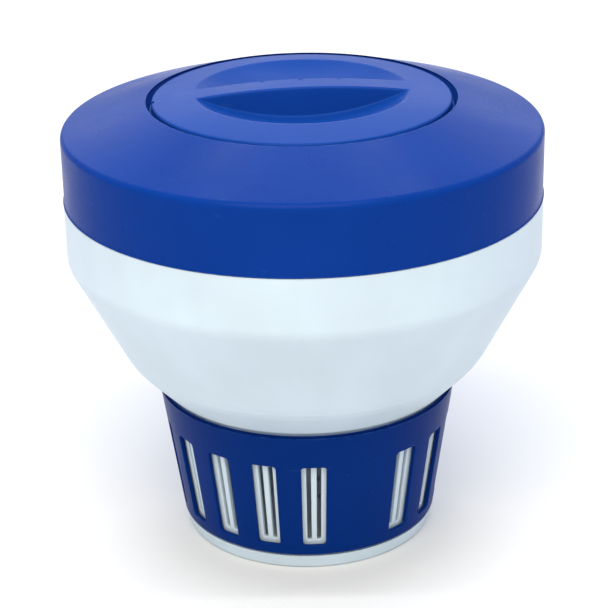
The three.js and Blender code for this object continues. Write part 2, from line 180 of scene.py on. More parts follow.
def fillet(before, at, after, radius):
    """The arc that rounds the corner `at`, cut down to the room that its two sides leave."""
    back, onward = before - at, after - at
    half = back.angle(onward) / 2
    if half > math.pi / 2 - 0.02:
        return [at]
    radius = min(radius, 0.48 * min(back.length, onward.length) * math.tan(half))
    back.normalize()
    onward.normalize()
    centre = at + (back + onward).normalized() * radius / math.sin(half)
    start = at + back * radius / math.tan(half) - centre
    # Known fault: this sign is right only where the corner is over 90
    # degrees. Under 90 the arc runs the wrong way round, and at 90 rounding error decides.
    turn = math.copysign(math.pi - 2 * half, start.x * onward.y - start.y * onward.x)
    steps = max(2, math.ceil(abs(turn) / FILLET_STEP))
    return [centre + Matrix.Rotation(turn * i / steps, 2) @ start for i in range(steps + 1)]


def outline(corners, closed=True):
    """(r, z) points of a line through corners (r, z) or (r, z, fillet), all of them rounded."""
    points = [Vector(corner[:2]) for corner in corners]
    count = len(points)
    result = []
    for i, corner in enumerate(corners):
        on_axis = points[i].x == 0
        if on_axis or (not closed and i in (0, count - 1)):
            result.append(points[i])
            continue
        radius = corner[2] if len(corner) > 2 else SMALL_FILLET
        result += fillet(points[i - 1], points[i], points[(i + 1) % count], radius)
    return with_stations(result, closed and points[0].x > 0)


def with_stations(points, closed):
    """Adds points to the straight runs, close to their ends and at even steps between."""
    result = []
    ends = points[1:] + points[:1] if closed else points[1:]
    for start, end in zip(points, ends):
        result.append(start)
        run = end - start
        if run.length > 4 * RUN_END:
            inner = run * (1 - 2 * RUN_END / run.length)
            first = start + run * (RUN_END / run.length)
            steps = math.ceil(inner.length / RUN_STEP)
            result += [first + inner * i / steps for i in range(steps + 1)]
    return result if closed else result + [points[-1]]


class Shell:
    """Vertices and faces in millimetres. Vertices that meet are merged when the object is made."""

    def __init__(self):
        self.vertices = []
        self.faces = []

    def rows(self, rows, closed_rows=False, closed_ends=False):
        """Quads between rows of points. Every row has the same number of points."""
        start, width = len(self.vertices), len(rows[0])
        for row in rows:
            self.vertices += row
        for i in range(len(rows) if closed_ends else len(rows) - 1):
            for j in range(width if closed_rows else width - 1):
                near, far = i * width, (i + 1) % len(rows) * width
                corners = (near + j, near + (j + 1) % width, far + (j + 1) % width, far + j)
                self.faces.append([start + corner for corner in corners])

    def lathe(self, points, turns, closed_outline=False):
        rows = [[polar(r, turn, z) for turn in turns] for r, z in points]
        self.rows(rows, closed_rows=True, closed_ends=closed_outline)

    def make_object(self, name):
        mesh = bpy.data.meshes.new(name)
        mesh.from_pydata([Vector(vertex) * MM for vertex in self.vertices], [], self.faces)
        work = bmesh.new()
        work.from_mesh(mesh)
        bmesh.ops.remove_doubles(work, verts=work.verts, dist=0.001 * MM)
        bmesh.ops.recalc_face_normals(work, faces=work.faces)
        work.to_mesh(mesh)
        work.free()
        made = bpy.data.objects.new(name, mesh)
        bpy.context.scene.collection.objects.link(made)
        return made


def lathe_object(name, corners, turns=None):
    """A closed outline turned round the Z axis. One that meets the axis starts and ends on it."""
    shell = Shell()
    on_axis = corners[0][0] == 0
    points = outline(corners, closed=not on_axis)
    shell.lathe(points, turns or full_turn(), closed_outline=not on_axis)
    return shell.make_object(name)


def bevelled(made, width):
    """Rounds every edge of a small block."""
    work = bmesh.new()
    work.from_mesh(made.data)
    sharp = [edge for edge in work.edges if edge.calc_face_angle(0) > SHARP]
    bmesh.ops.bevel(work, geom=sharp, offset=width * MM, segments=2, profile=0.5, affect="EDGES")
    work.to_mesh(made.data)
    work.free()
    return made


def sector(inner, outer, start, end, low, high, bevel=0.3):
    """A block bounded by two radii, two turns and two heights."""
    shell = Shell()
    for r, z in ((outer, low), (outer, high), (inner, high), (inner, low)):
        shell.vertices += [polar(r, turn, z) for turn in spread(start, end, SECTOR_STEPS)]
    width = SECTOR_STEPS + 1
    for side in range(4):
        near, far = side * width, (side + 1) % 4 * width
        shell.faces += [[near + i, near + i + 1, far + i + 1, far + i] for i in range(SECTOR_STEPS)]
    shell.faces.append([side * width for side in range(4)])
    shell.faces.append([side * width + SECTOR_STEPS for side in range(4)])
    made = shell.make_object("block")
    return bevelled(made, bevel) if bevel else made


def cylinder(radius, low, high, x, y, count=48):
    side = [(0, low), (radius, low), (radius, high), (0, high)]
    made = lathe_object("pin", side, full_turn(count))
    made.data.transform(Matrix.Translation(Vector((x, y, 0)) * MM))
    return made


def combined(made, others, operation):
    """The union of the object with the others, or what is left when they are cut from it."""
    for other in others:
        step = made.modifiers.new("boolean", "BOOLEAN")
        step.operation = operation
        step.solver = "MANIFOLD"
        step.object = other
    bpy.context.view_layer.update()
    evaluated = made.evaluated_get(bpy.context.evaluated_depsgraph_get())
    mesh = bpy.data.meshes.new_from_object(evaluated)
    made.modifiers.clear()
    made.data = mesh
    for other in others:
        bpy.data.objects.remove(other)
    return made


def place(made, node, material):
    """Gives a finished mesh its shading, finish and body, in place of its CAD node."""
    mesh = made.data
    mesh.shade_smooth()
    mesh.set_sharp_from_angle(angle=SHARP)
    mesh.materials.clear()
    mesh.materials.append(material)
    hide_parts(node)
    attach(made, BODY_OF[node])


def line_height(start, end, r):
    return start[1] + (end[1] - start[1]) * (r - start[0]) / (end[0] - start[0])


def offset_line(corners, distance):
    """The same open line moved sideways, to the left of its direction."""
    points = [Vector(corner[:2]) for corner in corners]
    normals = [(b - a).normalized() for a, b in zip(points, points[1:])]
    normals = [Vector((-along.y, along.x)) for along in normals]
    moved = []
    for i, point in enumerate(points):
        first, second = normals[max(0, i - 1)], normals[min(len(normals) - 1, i)]
        shift = (first + second) * distance / (1 + first.dot(second))
        moved.append((point.x + shift.x, point.y + shift.y, *corners[i][2:]))
    return moved


# ---------------------------------------------------------------- float

def make_deck_ring():
    under_edge, under_lip = offset_line([DECK_EDGE[:2], DECK_LIP[:2]], WALL)
    seat_under = LID_SEAT_Z - WALL
    gusset, ledge = SKIRT_BORE_R - SEAM_GUSSET_WIDTH, SKIRT_BORE_R - SEAM_LEDGE_WIDTH
    shell = lathe_object("deck_ring_fine", [
        SKIRT_FOOT, DECK_EDGE, DECK_LIP,
        (DECK_LIP[0], LID_SEAT_Z, 0.6), (COLLAR_R, LID_SEAT_Z, 0.5),
        (COLLAR_R, COLLAR_FOOT_Z, 0.5), (COLLAR_OUTER_R, COLLAR_FOOT_Z, 0.5),
        (COLLAR_OUTER_R, seat_under, 0.6), (DECK_LIP[0] + WALL, seat_under, 1.5),
        (DECK_LIP[0] + WALL, line_height(under_edge, under_lip, DECK_LIP[0] + WALL)),
        (gusset, line_height(under_edge, under_lip, gusset), 1.0),
        (gusset, SEAM_LEDGE_Z + SEAM_GUSSET_RISE), (ledge, SEAM_LEDGE_Z + SEAM_LEDGE_RISE),
        (ledge, SEAM_LEDGE_Z), (SKIRT_BORE_R, SEAM_LEDGE_Z), (SKIRT_BORE_R, SKIRT_FOOT[1]),
    ])
    outer = (COLLAR_R + COLLAR_OUTER_R) / 2
    ledges = []
    for turn in LUG_TURNS:
        start, end = turn - LEDGE_HALF, turn + LEDGE_HALF
        stop_end = turn - LUG_HALF - LUG_CLEARANCE
        stop_high = (LEDGE_LOW + LEDGE_HIGH) / 2
        ledges.append(sector(LEDGE_R, outer, start, end, LEDGE_LOW, LEDGE_HIGH))
        ledges.append(sector(LEDGE_R, outer, start, stop_end, LUG_LOW - 1, stop_high))
    return combined(shell, ledges, "UNION")


def make_float_bowl():
    side = [(BAND_R, SKIRT_FOOT[1] - GAP), SHOULDER, BILGE, BOWL_FOOT]
    _, shoulder, bilge, foot = offset_line(side, -WALL)
    neck_outer = COUNTERBORE_R + WALL
    groove = NECK_R + SNAP_DEPTH
    return lathe_object("float_bowl_fine", [
        (RIM_R, RIM_TOP, 0.4), (RIM_R, side[0][1], 0.1), (*side[0], 0.4), *side[1:],
        (NECK_R, BOWL_FOOT[1], 0.5), (NECK_R, SNAP_Z - GROOVE_HALF),
        (groove, SNAP_Z - GROOVE_HALF_FLAT), (groove, SNAP_Z + GROOVE_HALF_FLAT),
        (NECK_R, SNAP_Z + GROOVE_HALF), (NECK_R, COUNTERBORE_Z), (COUNTERBORE_R, COUNTERBORE_Z),
        (COUNTERBORE_R, NECK_TOP_Z, 0.4), (neck_outer, NECK_TOP_Z, 0.6),
        (neck_outer, line_height(bilge, foot, neck_outer), 1.5), bilge, shoulder,
        (BAND_R - WALL, RIM_ROOT_Z, 2), (RIM_R - RIM_WALL, RIM_STEP_Z, 2),
        (RIM_R - RIM_WALL, RIM_TOP, 0.4),
    ])


def make_tablet_well():
    bore, foot, flange_low = WELL_R - WALL, WELL_SOCKET_FOOT, NECK_TOP_Z - GAP
    socket_outer = WELL_SOCKET_R + WELL_SOCKET_WALL
    return lathe_object("tablet_well_fine", [
        (bore, WELL_FOOT_Z, 0.5), (WELL_R, WELL_FOOT_Z, 0.5), (WELL_R, flange_low),
        (WELL_FLANGE_R, flange_low, 0.4), (WELL_FLANGE_R, flange_low + WELL_FLANGE_EDGE, 0.4),
        (WELL_R, flange_low + WELL_FLANGE_ROOT, 1), (WELL_R, foot - WELL_SOCKET_TAPER, 2),
        (socket_outer, foot, 2), (socket_outer, WELL_TOP_Z, 0.5),
        (WELL_SOCKET_R, WELL_TOP_Z, 0.5), (WELL_SOCKET_R, foot), (bore, foot, 0.5),
    ])


def make_ring_seal(name, ring, section, z):
    shell = Shell()
    points = [(ring + section * math.cos(turn), z + section * math.sin(turn))
              for turn in full_turn(SEAL_FACETS)]
    shell.lathe(points, full_turn(), closed_outline=True)
    return shell.make_object(name)


def make_rim_seal():
    inner, outer = RIM_R - RIM_WALL + RIM_SEAL_INSET[0], RIM_R - RIM_SEAL_INSET[1]
    low, high = RIM_TOP + GAP, SEAM_LEDGE_Z - GAP
    return lathe_object("rim_seal_fine", [(inner, low), (outer, low), (outer, high), (inner, high)])


# ---------------------------------------------------------------- lid

DISH_DEPTH = LID_TOP_Z - DOME_R + math.sqrt(DOME_R ** 2 - DISH_R ** 2) - DISH_FLOOR_Z
DISH_CURVE_R = (DISH_R ** 2 + DISH_DEPTH ** 2) / (2 * DISH_DEPTH)
RIM_SOFTNESS = 0.4
NOTCH_WALL = 0.25

# Half the side of the square grid in the middle of the lid, and the rings outside it.
GRID_HALF = 26
MORPH_RINGS = 10
MORPH_R = 38.5
LID_RINGS = (39.2, 39.8, 40.3, 40.7, 41.0, 41.3, 41.6, 41.9, 42.2, 42.5, 42.8, 43.2, 43.8, 44.6,
             46, 48, 50, 52, 54, 55.5, 56.6)

# The bar's side: fillet of its top edge, draft, fillet at its foot, and the points of each.
EDGE_FILLET, FOOT_FILLET = 1.0, 0.9
BAR_DRAFT = math.tan(3 * DEG)
SIDE_ARC = spread(0, 88 * DEG, 6)
SIDE_WALL = spread(0, 1, 7)[1:-1]
BAND_HALF = BAR_HALF + 3.4


def dome_height(r):
    return LID_TOP_Z - DOME_R + math.sqrt(DOME_R ** 2 - r ** 2)


def dish_height(r, below=0):
    return DISH_FLOOR_Z + DISH_CURVE_R - math.sqrt((DISH_CURVE_R + below) ** 2 - r ** 2)


def dish_depth(r):
    """How far the dish lies below the dome, going smoothly to nothing across the dish's rim."""
    depth = dome_height(r) - dish_height(min(r, DISH_R + 5))
    if depth <= -RIM_SOFTNESS:
        return 0
    if depth >= RIM_SOFTNESS:
        return depth
    return (depth + RIM_SOFTNESS) ** 2 / (4 * RIM_SOFTNESS)


def bar_side(along):
    """(across, height) points down the side of the bar, from its top edge to the dish."""
    depth = dish_depth(math.hypot(along, BAR_HALF + 1))
    edge = min(EDGE_FILLET, 0.4 * depth)
    foot = min(FOOT_FILLET, 0.4 * depth)
    draft = BAR_DRAFT * depth
    top, base = [], []
    for turn in SIDE_ARC:
        across = BAR_HALF - edge * (1 - math.sin(turn))
        drop = edge * (1 - math.cos(turn))
        top.append((across, dome_height(math.hypot(along, across)) - drop))
    for turn in SIDE_ARC:
        across = BAR_HALF + draft + foot * (1 - math.cos(turn))
        r = math.hypot(along, across)
        base.append((across, dome_height(r) - dish_depth(r) + foot * (1 - math.sin(turn))))
    (near, high), (far, low) = top[-1], base[0]
    wall = [(near + (far - near) * t, high + (low - high) * t) for t in SIDE_WALL]
    points = top + wall + base
    slack = 0.09 * max(0, 1 - depth / 1.5)
    middle = (len(points) - 1) / 2
    return [(across + slack * (k - middle), z) for k, (across, z) in enumerate(points)]


def across_stations():
    """Stations across the bar: a number, or (side, k) for the k-th point of the bar's side."""
    count = len(SIDE_ARC) * 2 + len(SIDE_WALL)
    notch_end = BAR_HALF - NOTCH_REACH
    top = spread(0, notch_end - 0.2, 4) + [notch_end, notch_end + NOTCH_WALL, notch_end + 0.7]
    half = top[1:] + [(1, k) for k in range(count)] + spread(BAND_HALF, GRID_HALF, 16)
    mirrored = [(-1, s[1]) if isinstance(s, tuple) else -s for s in reversed(half)]
    return mirrored + [0] + half


def along_stations():
    near_notch = [notch + step for notch in BAR_NOTCHES for step in spread(-1.5, 1.5, 12)]
    even = [x for x in spread(-GRID_HALF, GRID_HALF, 48)
            if all(abs(x - notch) > 1.8 for notch in BAR_NOTCHES)]
    return sorted(near_notch + even)


def nominal(station):
    """Where a station across the bar lies when the bar has no height."""
    if not isinstance(station, tuple):
        return station
    side, k = station
    return side * bar_side(LID_R)[k][0]


def notch_drop(along, across):
    """Depth of the notches in the rear top edge of the bar."""
    beside = NOTCH_HALF - min(abs(along - notch) for notch in BAR_NOTCHES)
    within = min(beside, across - (BAR_HALF - NOTCH_REACH))
    return NOTCH_DEPTH * min(1, max(0, within / NOTCH_WALL))


def lid_point(along, station):
    """A point of the lid's top, in the frame of the bar."""
    if isinstance(station, tuple):
        side, k = station
        offset, z = bar_side(along)[k]
        across = side * offset
        on_bar = k < len(SIDE_ARC) + len(SIDE_WALL)
    else:
        across = station
        r = math.hypot(along, across)
        on_bar = abs(across) < BAR_HALF
        z = dome_height(r) - (0 if on_bar else dish_depth(r))
    if on_bar:
        z = min(z, dome_height(math.hypot(along, across)) - notch_drop(along, across))
    return along, across, z


def lid_ring(r, alongs, acrosses):
    """Points of one ring of the lid, in step with the edge of the square grid."""
    band_turn = math.asin(BAND_HALF / r)

    def side_turn(station):
        offset = nominal(station)
        if abs(offset) <= BAND_HALF:
            return math.asin(offset / r)
        share = (abs(offset) - BAND_HALF) / (GRID_HALF - BAND_HALF)
        return math.copysign(band_turn + (TURN / 8 - band_turn) * share, offset)

    def end_turn(x):
        return TURN / 8 * x / GRID_HALF

    right = [(r * math.cos(side_turn(s)), s, r * math.sin(side_turn(s))) for s in acrosses]
    rear = [(r * math.sin(end_turn(x)), None, r * math.cos(end_turn(x))) for x in alongs]
    left = [(-x, s, y) for x, s, y in right]
    front = [(x, None, -y) for x, _, y in rear]
    return right[:-1] + rear[:0:-1] + left[:0:-1] + front[:-1]


def grid_edge(alongs, acrosses):
    right = [(GRID_HALF, s, nominal(s)) for s in acrosses]
    rear = [(x, None, GRID_HALF) for x in alongs]
    left = [(-x, s, y) for x, s, y in right]
    front = [(x, None, -y) for x, _, y in rear]
    return right[:-1] + rear[:0:-1] + left[:0:-1] + front[:-1]


def make_lid():
    alongs, acrosses = along_stations(), across_stations()
    shell = Shell()
    shell.rows([[lid_point(x, s) for s in acrosses] for x in alongs])

    def on_surface(x, station, y):
        return lid_point(x, station if isinstance(station, tuple) else y)

    inner, outer = grid_edge(alongs, acrosses), lid_ring(MORPH_R, alongs, acrosses)
    rings = []
    for t in spread(0, 1, MORPH_RINGS):
        rings.append([(a[0] + (b[0] - a[0]) * t, a[1], a[2] + (b[2] - a[2]) * t)
                      for a, b in zip(inner, outer)])
    rings += [lid_ring(r, alongs, acrosses) for r in LID_RINGS]
    rows = [[on_surface(*point) for point in ring] for ring in rings]

    turns = [math.atan2(point[1], point[0]) for point in rows[-1]]
    bore, seat = SPIGOT_R - WALL, LID_UNDERSIDE_Z
    under = outline([
        (LID_RINGS[-1], dome_height(LID_RINGS[-1])),
        (LID_R, dome_height(LID_R), LID_FILLET),
        (LID_R, seat, 0.4), (SPIGOT_R, seat), (SPIGOT_R, SEAL_RIB_HIGH),
        (SEAL_RIB_R, SEAL_RIB_HIGH), (SEAL_RIB_R, SEAL_RIB_LOW), (SPIGOT_R, SEAL_RIB_LOW),
        (SPIGOT_R, SPIGOT_FOOT_Z, 0.6),
        (bore, SPIGOT_FOOT_Z, 0.6), (bore, dome_height(bore) - WALL, 1.2),
        *[(r, dome_height(r) - WALL) for r in (46, 42.6)],
        *[(r, dish_height(r, WALL)) for r in (42, 38, 34, 30, 25, 20, 15, 10, 5)],
        (0, dish_height(0, WALL)),
    ], closed=False)
    rows += [[polar(r, turn, z) for turn in turns] for r, z in under[1:]]
    shell.rows(rows, closed_rows=True)
    made = shell.make_object("lid_fine")
    made.data.transform(Matrix.Rotation(BAR_ANGLE, 4, "Z"))

    lugs = [sector(SPIGOT_R - WALL / 2, LUG_R, turn - LUG_HALF, turn + LUG_HALF, LUG_LOW, LUG_HIGH)
            for turn in LUG_TURNS]
    made = combined(made, lugs, "UNION")
    hollow = Shell()
    length, width = BAR_HOLLOW_HALF, BAR_HALF - WALL
    plan = ((-length, -width), (length, -width), (length, width), (-length, width))
    hollow.rows([[(x, y, z) for x, y in plan] for z in (SPIGOT_FOOT_Z, BAR_HOLLOW_TOP)],
                closed_rows=True)
    hollow.faces += [[0, 1, 2, 3], [4, 5, 6, 7]]
    block = bevelled(hollow.make_object("hollow"), BAR_HOLLOW_BEVEL)
    block.data.transform(Matrix.Rotation(BAR_ANGLE, 4, "Z"))
    x, y = -LID_R * math.cos(BAR_ANGLE), -LID_R * math.sin(BAR_ANGLE)
    index_notch = cylinder(INDEX_NOTCH_R, LID_UNDERSIDE_Z - 1, LID_TOP_Z, x, y)
    return combined(made, [block, index_notch], "DIFFERENCE")


# ---------------------------------------------------------------- sleeve, basket and foot

CORNER_STEPS, SIDE_STEPS, END_STEPS = 6, 18, 6
CORNER_SHARE = 0.15
CELL_RINGS = 6
HOLE_EDGE = 0.35
EDGE_STEPS = spread(0, TURN / 4, 4)


def edge_shares(steps):
    """Shares of a cell's edge, in step with a hole's side and half of the corner at each end."""
    half = CORNER_STEPS // 2
    return ([CORNER_SHARE * i / half for i in range(half)]
            + spread(CORNER_SHARE, 1 - CORNER_SHARE, steps)
            + [1 - CORNER_SHARE + CORNER_SHARE * (i + 1) / half for i in range(half)])


SIDE_SHARES, END_SHARES = edge_shares(SIDE_STEPS), edge_shares(END_STEPS)


def cone_radius(z):
    return SLEEVE_FOOT[0] + (SLEEVE_TOP[0] - SLEEVE_FOOT[0]) * (z - SLEEVE_FOOT[1]) / (
        SLEEVE_TOP[1] - SLEEVE_FOOT[1])


def basket_radius(z):
    return cone_radius(z) - SLEEVE_WALL - BASKET_CLEARANCE


def cell_edge(start, end, low, high):
    """(turn, height) points round a rectangle, anticlockwise from its lower left corner."""
    across = [start + (end - start) * share for share in END_SHARES]
    up = [low + (high - low) * share for share in SIDE_SHARES]
    return ([(turn, low) for turn in across[:-1]] + [(end, z) for z in up[:-1]]
            + [(turn, high) for turn in across[:0:-1]] + [(start, z) for z in up[:0:-1]])


def hole_edge(turn, hole, radius, grow):
    """(turn, height) points round a hole grown by some millimetres, in step with cell_edge."""
    middle = radius((hole["low"] + hole["high"]) / 2)
    half = hole["half"] + grow / middle
    low, high = hole["low"] - grow, hole["high"] + grow
    corner = hole["corner"] + grow
    inset = corner / middle
    steps = CORNER_STEPS

    def arc(centre_turn, centre_z, first, last):
        return [(centre_turn + inset * math.cos(a), centre_z + corner * math.sin(a))
                for a in spread(first * TURN, last * TURN, steps)]

    lower_left = arc(turn - half + inset, low + corner, 0.5, 0.75)
    lower_right = arc(turn + half - inset, low + corner, 0.75, 1.0)
    upper_right = arc(turn + half - inset, high - corner, 0.0, 0.25)
    upper_left = arc(turn - half + inset, high - corner, 0.25, 0.5)

    def straight(a, b, count):
        return [(a[0] + (b[0] - a[0]) * t, a[1] + (b[1] - a[1]) * t)
                for t in spread(0, 1, count)[1:-1]]

    ring = (lower_left + straight(lower_left[-1], lower_right[0], END_STEPS)
            + lower_right + straight(lower_right[-1], upper_right[0], SIDE_STEPS)
            + upper_right + straight(upper_right[-1], upper_left[0], END_STEPS)
            + upper_left + straight(upper_left[-1], lower_left[0], SIDE_STEPS))
    return ring[steps // 2:] + ring[:steps // 2]


def add_pierced_cell(shell, start, end, low, high, turn, hole, radius, wall):
    edge = cell_edge(start, end, low, high)
    outer_ring = hole_edge(turn, hole, radius, HOLE_EDGE)
    flat = [[(a[0] + (b[0] - a[0]) * t, a[1] + (b[1] - a[1]) * t) for a, b in zip(edge, outer_ring)]
            for t in spread(0, 1, CELL_RINGS)]
    rounded = [(hole_edge(turn, hole, radius, HOLE_EDGE * (1 - math.sin(a))),
                HOLE_EDGE * (1 - math.cos(a))) for a in EDGE_STEPS]
    layers = [(ring, 0) for ring in flat] + rounded[1:]
    layers += [(ring, wall - depth) for ring, depth in reversed(layers)]
    rows = [[polar(radius(z) - depth, t, z) for t, z in ring] for ring, depth in layers]
    shell.rows(rows, closed_rows=True)


def add_blank_cell(shell, start, end, low, high, radius, wall):
    across = [start + (end - start) * share for share in END_SHARES]
    up = [low + (high - low) * share for share in SIDE_SHARES]
    for depth in (0, wall):
        shell.rows([[polar(radius(z) - depth, turn, z) for turn in across] for z in up])


def place_turns():
    return [(WINDOW_PHASE + place * WINDOW_PITCH, place in BLANK_PLACES)
            for place in range(WINDOW_PLACES)]


def cell_turns(cells):
    return [start + (end - start) * share for start, end in cells for share in END_SHARES[:-1]]


def make_sleeve():
    shell = Shell()
    low, high = SLEEVE_CELLS
    cells = []
    for turn, blank in place_turns():
        start, end = turn - WINDOW_PITCH / 2, turn + WINDOW_PITCH / 2
        cells.append((start, end))
        if blank:
            add_blank_cell(shell, start, end, low, high, cone_radius, SLEEVE_WALL)
        else:
            add_pierced_cell(shell, start, end, low, high, turn, WINDOW, cone_radius, SLEEVE_WALL)
    turns = cell_turns(cells)
    upper = outline([
        (cone_radius(high), high), (*SLEEVE_TOP, 0.6),
        (SLEEVE_TOP[0] - SLEEVE_WALL, SLEEVE_TOP[1], 0.5), (cone_radius(high) - SLEEVE_WALL, high),
    ], closed=False)
    lower = outline([
        (cone_radius(low), low), (*SLEEVE_FOOT, 0.4),
        (SLEEVE_FOOT[0] - SLEEVE_WALL, SLEEVE_FOOT[1], 0.4), (cone_radius(low) - SLEEVE_WALL, low),
    ], closed=False)
    shell.lathe(upper, turns)
    shell.lathe(lower, turns)
    made = shell.make_object("dosing_sleeve_fine")
    reach = STOP_HALF + STOP_CLEARANCE
    notch = sector(SLEEVE_FOOT[0] - 4, SLEEVE_FOOT[0] + 4, STOP_ANGLE - reach - SLEEVE_TRAVEL,
                   STOP_ANGLE + reach, SLEEVE_FOOT[1] - 2, BASE_TOP_Z + STOP_HEIGHT + GAP, bevel=0)
    return combined(made, [notch], "DIFFERENCE")


def make_basket():
    shell = Shell()
    low, high = BASKET_CELLS
    cells = []
    for turn, blank in place_turns():
        for side in (-1, 1):
            start = turn + min(0, side) * WINDOW_PITCH / 2
            end = turn + max(0, side) * WINDOW_PITCH / 2
            cells.append((start, end))
            if blank:
                add_blank_cell(shell, start, end, low, high, basket_radius, WALL)
            else:
                add_pierced_cell(shell, start, end, low, high, turn + side * SLIT["offset"], SLIT,
                                 basket_radius, WALL)
    turns = cell_turns(cells)
    collar, shoulder = NECK_R - GAP, BASKET_SHOULDER_Z
    bead = collar + SNAP_DEPTH
    upper = outline([
        (basket_radius(high), high), (basket_radius(shoulder), shoulder, 0.1),
        (collar, shoulder, 0.1), (collar, SNAP_Z - BEAD_HALF), (bead, SNAP_Z - BEAD_HALF_FLAT),
        (bead, SNAP_Z + BEAD_HALF_FLAT), (collar, SNAP_Z + BEAD_HALF), (collar, BASKET_TOP_Z, 0.5),
        (collar - WALL, BASKET_TOP_Z, 0.5), (collar - WALL, shoulder + WALL, 1),
        (basket_radius(shoulder) - WALL, shoulder, 1), (basket_radius(high) - WALL, high),
    ], closed=False)
    spigot, foot_bead = BASKET_SPIGOT_R, BASKET_SPIGOT_R + FOOT_BEAD
    lower = outline([
        (basket_radius(low), low), (basket_radius(FLOOR_LOW), FLOOR_LOW, 0.2),
        (spigot, FLOOR_LOW - FLOOR_EDGE_FALL, 0.1), (spigot, FOOT_BEAD_TOP),
        (foot_bead, FOOT_BEAD_FLAT[1]), (foot_bead, FOOT_BEAD_FLAT[0]),
        (spigot, BASKET_SPIGOT_FOOT), (spigot - WALL, BASKET_SPIGOT_FOOT),
        (spigot - WALL, FLOOR_LOW, 0.5), (FLOOR_RING_R, FLOOR_LOW), (0, FLOOR_LOW),
    ], closed=False)
    floor = outline([
        (0, FLOOR_HIGH), (FLOOR_RING_R, FLOOR_HIGH),
        (basket_radius(FLOOR_HIGH) - WALL, FLOOR_HIGH, 0.7), (basket_radius(low) - WALL, low),
    ], closed=False)
    shell.lathe(upper, turns)
    shell.lathe(lower, turns)
    shell.lathe(floor, turns)
    made = shell.make_object("basket_fine")
    drains = [cylinder(DRAIN_R, FLOOR_LOW - 1, FLOOR_HIGH + 1,
                       DRAIN_RING * math.cos(turn), DRAIN_RING * math.sin(turn))
              for turn in full_turn(DRAINS)]
    return combined(made, drains, "DIFFERENCE")


def make_base_cap():
    bore, hub_outer = BASKET_SPIGOT_R + GAP, HUB_R + HUB_WALL
    groove = bore + FOOT_GROOVE
    shell = lathe_object("base_cap_fine", [
        (HUB_R, RECESS_Z, 0.5), (RECESS_INNER_R, RECESS_Z, 0.6), (RECESS_OUTER_R, 0, 0.4),
        (BASE_FOOT_R, 0, 1.2), (BASE_R, BASE_TOP_Z, 0.4), (bore, BASE_TOP_Z),
        (bore, FOOT_GROOVE_ENDS[1], 0.02), (groove, FOOT_GROOVE_FLAT[1], 0.1),
        (groove, FOOT_GROOVE_FLAT[0], 0.1), (bore, FOOT_GROOVE_ENDS[0]),
        (bore, BASE_FLOOR_Z, 0.5), (hub_outer, BASE_FLOOR_Z, 0.8), (hub_outer, HUB_TOP_Z, 0.4),
        (HUB_R, HUB_TOP_Z, 0.4),
    ])
    stop = sector(STOP_INNER_R, STOP_OUTER_R, STOP_ANGLE - STOP_HALF, STOP_ANGLE + STOP_HALF,
                  BASE_TOP_Z - STOP_ROOT, BASE_TOP_Z + STOP_HEIGHT, bevel=0.2)
    return combined(shell, [stop], "UNION")


# ---------------------------------------------------------------- materials

class Finish:
    """A procedural material. Textures are laid out in metres, in the frame of the object."""

    def __init__(self, name):
        self.material = bpy.data.materials.new(name)
        self.material.use_nodes = True
        self.tree = self.material.node_tree
        self.shader = self.tree.nodes["Principled BSDF"]
        self.place = self.add("ShaderNodeTexCoord").outputs["Object"]

    def add(self, kind, settings=None, **inputs):
        node = self.tree.nodes.new(kind)
        for key, value in (settings or {}).items():
            setattr(node, key, value)
        for key, value in inputs.items():
            self.put(node.inputs[int(key[1:]) if key[1:].isdigit() else key], value)
        return node

    def put(self, socket, value):
        if isinstance(value, bpy.types.NodeSocket):
            self.tree.links.new(value, socket)
        else:
            socket.default_value = value

    def noise(self, scale, detail=3, stretch=None, turn=0):
        place = self.place
        if stretch:
            mapping = self.add("ShaderNodeMapping", Vector=place)
            mapping.inputs["Scale"].default_value = stretch
            mapping.inputs["Rotation"].default_value = (turn, turn, turn)
            place = mapping.outputs["Vector"]
        node = self.add("ShaderNodeTexNoise", Vector=place, Scale=scale, Detail=detail)
        return node.outputs["Fac"]

    def ranged(self, value, low, high, start=0.0, end=1.0):
        node = self.add("ShaderNodeMapRange", Value=value)
        limits = {"From Min": low, "From Max": high, "To Min": start, "To Max": end}
        for key, number in limits.items():
            node.inputs[key].default_value = number
        return node.outputs["Result"]

    def maths(self, operation, a, b):
        return self.add("ShaderNodeMath", {"operation": operation}, _0=a, _1=b).outputs[0]

    def mixed(self, share, a, b):
        node = self.add("ShaderNodeMix", {"data_type": "RGBA"}, _0=share, _6=a, _7=b)
        return node.outputs[2]

    def bump(self, height, distance, strength, before=None):
        node = self.add("ShaderNodeBump", Height=height, Strength=strength, Distance=distance * MM)
        if before:
            self.put(node.inputs["Normal"], before)
        return node.outputs["Normal"]


BLUE_SCUFF = (0.06, 0.17, 0.46)
WHITE_SCUFF = (0.62, 0.64, 0.62)
BLUE_SPECULAR = 0.035


def shade(colour, factor):
    return (*[min(1, channel * factor) for channel in colour], 1)


